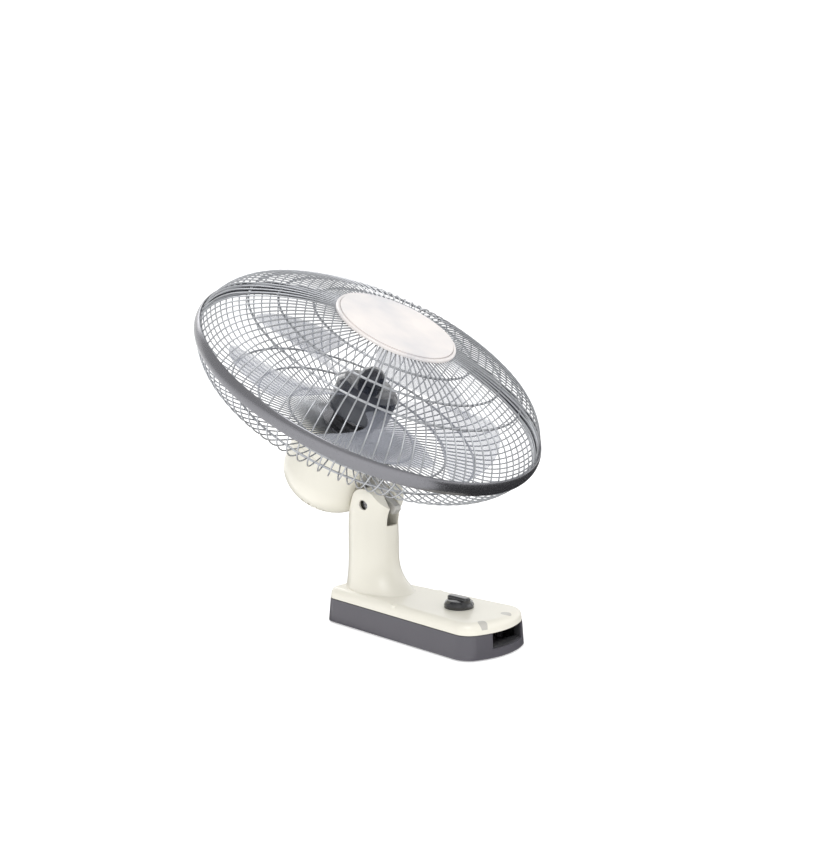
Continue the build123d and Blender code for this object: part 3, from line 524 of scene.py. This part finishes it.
def grid_quads(rows, columns, start=0, wrap_rows=False, wrap_columns=False):
    """Quads over a grid of points stored row by row, joined round where it wraps."""
    i = np.arange(rows if wrap_rows else rows - 1)[:, None]
    j = np.arange(columns if wrap_columns else columns - 1)[None, :]
    i2, j2 = (i + 1) % rows, (j + 1) % columns
    quads = np.stack(
        [i * columns + j, i * columns + j2, i2 * columns + j2, i2 * columns + j], axis=-1
    )
    return quads.reshape(-1, 4) + start


def head_points(radius, angle, height):
    """Points at a radius and angle round the fan's axis and a height forwards of the swivel."""
    return (
        hub_centre
        + (radius * np.cos(angle))[..., None] * rightward
        + (radius * np.sin(angle))[..., None] * upward
        + np.asarray(height)[..., None] * forward
    )


# ---------------------------------------------------------------- cage pieces
RIM_R = 0.218
RIM_REAR, RIM_FRONT = 0.0812, 0.0987
BELT_BORE = 0.2156
BELT_LIP_R = 0.2146
BELT_LIP = 0.0012
BELT_CROWN = 0.0024
BELT_POWER = 2.2
BELT_INSET = 0.00002
BELT_STATIONS = 17
BELT_STEPS = 360
CORNER = 0.00015


def softened(profile, corner):
    """A closed profile with two points close to each corner: smooth shading keeps it crisp."""
    before = np.roll(profile, 1, axis=0) - profile
    after = np.roll(profile, -1, axis=0) - profile
    before /= np.linalg.norm(before, axis=1, keepdims=True)
    after /= np.linalg.norm(after, axis=1, keepdims=True)
    return np.stack([profile + corner * before, profile + corner * after], axis=1).reshape(-1, 2)


def make_belt():
    """The belt round the rim, a turned surface. Its outer face is convex:
    r(t) = RIM_R - BELT_CROWN * |2 t - 1| ** BELT_POWER,
    from the rear edge, t = 0, to the front edge, t = 1."""
    share = np.linspace(0.0, 1.0, BELT_STATIONS)
    outer = np.stack(
        [
            RIM_R - BELT_INSET - BELT_CROWN * np.abs(2 * share - 1) ** BELT_POWER,
            RIM_REAR + (RIM_FRONT - RIM_REAR) * share,
        ],
        axis=-1,
    )
    inner = np.array(
        [
            (BELT_LIP_R, RIM_FRONT),
            (BELT_LIP_R, RIM_FRONT - BELT_LIP),
            (BELT_BORE, RIM_FRONT - BELT_LIP),
            (BELT_BORE, RIM_REAR + BELT_LIP),
            (BELT_LIP_R, RIM_REAR + BELT_LIP),
            (BELT_LIP_R, RIM_REAR),
        ]
    )
    profile = softened(np.concatenate([outer, inner]), CORNER)
    turn = np.linspace(0.0, 2 * np.pi, BELT_STEPS, endpoint=False)
    points = head_points(profile[None, :, 0], turn[:, None], profile[None, :, 1])
    quads = grid_quads(len(turn), len(profile), wrap_rows=True, wrap_columns=True)
    belt = mesh_piece("rim_belt_round", points.reshape(-1, 3), quads, "silver_grey", "head")
    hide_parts("rim_belt")


make_belt()


# ---------------------------------------------------------------- floor and light
FLOOR_HALF_WIDTH = 12.0
FLOOR_START = -10.0
FLOOR_LENGTH = 16.0
FLAT_SHARE = 0.6
CURVE_DEPTH = 3.0
CURVE_HEIGHT = 9.0
FLOOR_GLOW = 0.38


def make_floor():
    """A pale floor, flat for the first part of its run, then a quarter of an ellipse upwards:
    depth = end + CURVE_DEPTH * sin(a), height = CURVE_HEIGHT * (1 - cos(a)),
    with a from 0 to a right angle."""
    across = np.linspace(-FLOOR_HALF_WIDTH, FLOOR_HALF_WIDTH, 3)
    run = np.linspace(0.0, 1.0, 40)
    bend = np.clip((run - FLAT_SHARE) / (1.0 - FLAT_SHARE), 0.0, 1.0) * np.pi / 2
    flat = np.clip(run / FLAT_SHARE, 0.0, 1.0)
    depth = FLOOR_START + FLOOR_LENGTH * flat + CURVE_DEPTH * np.sin(bend)
    height = CURVE_HEIGHT * (1 - np.cos(bend))
    points = np.stack(
        [
            np.repeat(across, len(run)),
            np.tile(depth, len(across)),
            np.tile(height, len(across)),
        ],
        axis=-1,
    )
    cosine, sine = math.cos(-VIEW_TURN), math.sin(-VIEW_TURN)
    spin = np.array([[cosine, -sine, 0], [sine, cosine, 0], [0, 0, 1]])
    quads = grid_quads(len(across), len(run))[:, ::-1]
    mesh = bpy.data.meshes.new("floor")
    mesh.from_pydata((points @ spin.T).tolist(), [], quads.tolist())
    mesh.polygons.foreach_set("use_smooth", [True] * len(mesh.polygons))
    floor = bpy.data.objects.new("floor", mesh)
    bpy.context.scene.collection.objects.link(floor)
    finish = Finish("floor")
    floor.data.materials.append(
        finish.done(
            finish.shader(
                Base_Color=(0.93, 0.93, 0.93, 1.0),
                Roughness=0.65,
                Emission_Color=(1.0, 1.0, 1.0, 1.0),
                Emission_Strength=FLOOR_GLOW,
            )
        )
    )


def lamp(name, place, target, size, power):
    """A square soft light aimed at a point."""
    data = bpy.data.lights.new(name, "AREA")
    data.shape = "SQUARE"
    data.size = size
    data.energy = power
    light = bpy.data.objects.new(name, data)
    light.location = place
    aim = Vector(target) - Vector(place)
    light.rotation_mode = "QUATERNION"
    light.rotation_quaternion = aim.to_track_quat("-Z", "Y")
    bpy.context.scene.collection.objects.link(light)


FLAG_NEAR_X, FLAG_FAR_X = -0.05, 1.6
FLAG_HALF_DEPTH = 0.9
FLAG_LIFT = 0.002


def make_flag():
    """A dark card beside the fan that only reflections see, to shape its shiny edges."""
    mesh = bpy.data.meshes.new("flag")
    corners = [
        (FLAG_NEAR_X, -FLAG_HALF_DEPTH, FLAG_LIFT),
        (FLAG_FAR_X, -FLAG_HALF_DEPTH, FLAG_LIFT),
        (FLAG_FAR_X, FLAG_HALF_DEPTH, FLAG_LIFT),
        (FLAG_NEAR_X, FLAG_HALF_DEPTH, FLAG_LIFT),
    ]
    mesh.from_pydata(corners, [], [(0, 1, 2, 3)])
    flag = bpy.data.objects.new("flag", mesh)
    bpy.context.scene.collection.objects.link(flag)
    flag.visible_camera = False
    flag.visible_diffuse = False
    flag.visible_shadow = False
    flag.visible_transmission = False
    finish = Finish("flag")
    flag.data.materials.append(
        finish.done(finish.shader(Base_Color=(0.01, 0.01, 0.012, 1.0), Roughness=0.9))
    )


LAMP_AIM = (0.0, 0.0, 0.2)
LAMPS = (
    ("key", (-1.6, -1.2, 2.3), 1.6, 34.0),
    ("fill", (1.8, -2.0, 1.2), 2.0, 10.0),
    ("back", (0.6, 2.2, 1.8), 1.6, 18.0),
)
SKY_STRENGTH = 0.72

make_floor()
make_flag()
for name, place, size, power in LAMPS:
    lamp(name, place, LAMP_AIM, size, power)
world = bpy.data.worlds.new("studio")
world.use_nodes = True
world.node_tree.nodes["Background"].inputs[0].default_value = (1.0, 1.0, 1.0, 1.0)
world.node_tree.nodes["Background"].inputs[1].default_value = SKY_STRENGTH
bpy.context.scene.world = world
bpy.context.scene.view_settings.view_transform = "Standard"
